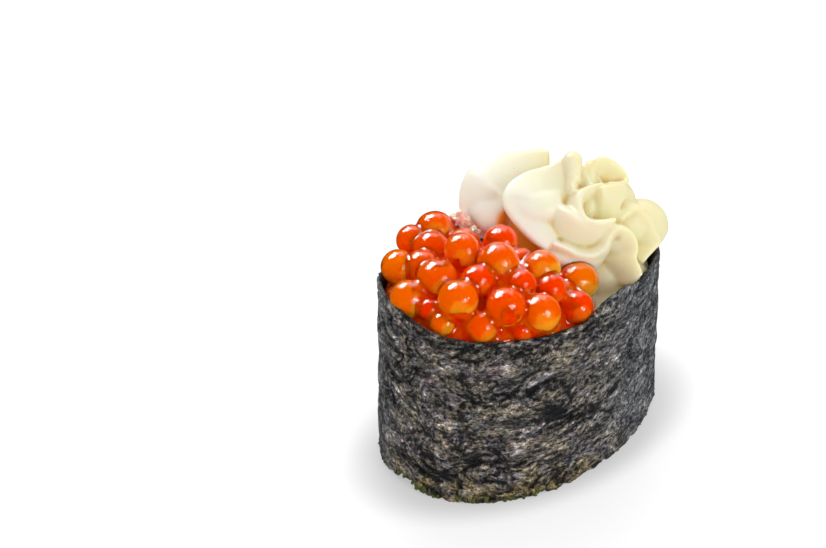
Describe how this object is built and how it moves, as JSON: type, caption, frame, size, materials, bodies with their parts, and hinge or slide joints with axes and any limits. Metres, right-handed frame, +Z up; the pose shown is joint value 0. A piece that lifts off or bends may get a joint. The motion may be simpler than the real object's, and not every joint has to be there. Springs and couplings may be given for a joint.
{
  "type": "gunkan sushi",
  "caption": "Gunkan sushi: rice wrapped in a band of nori, topped with salmon roe at one end and a piped swirl of cream at the other.",
  "frame": {"origin": "under the middle of the sushi, on the surface it stands on", "axes": "+Z up; X along the nori band's long axis, with the roe at -X and the cream at +X"},
  "size_m": [0.052, 0.0342, 0.0462],
  "materials": {
    "nori": "wrinkled dry seaweed, satin",
    "rice": "moist sticky grains",
    "roe": "wet, glossy, translucent",
    "cream": "smooth, soft sheen"
  },
  "bodies": {
    "root": {"nori_band": "nori", "rice_block": "rice", "roe_heap": "roe", "cream_swirl": "cream"}
  },
  "joints": []
}
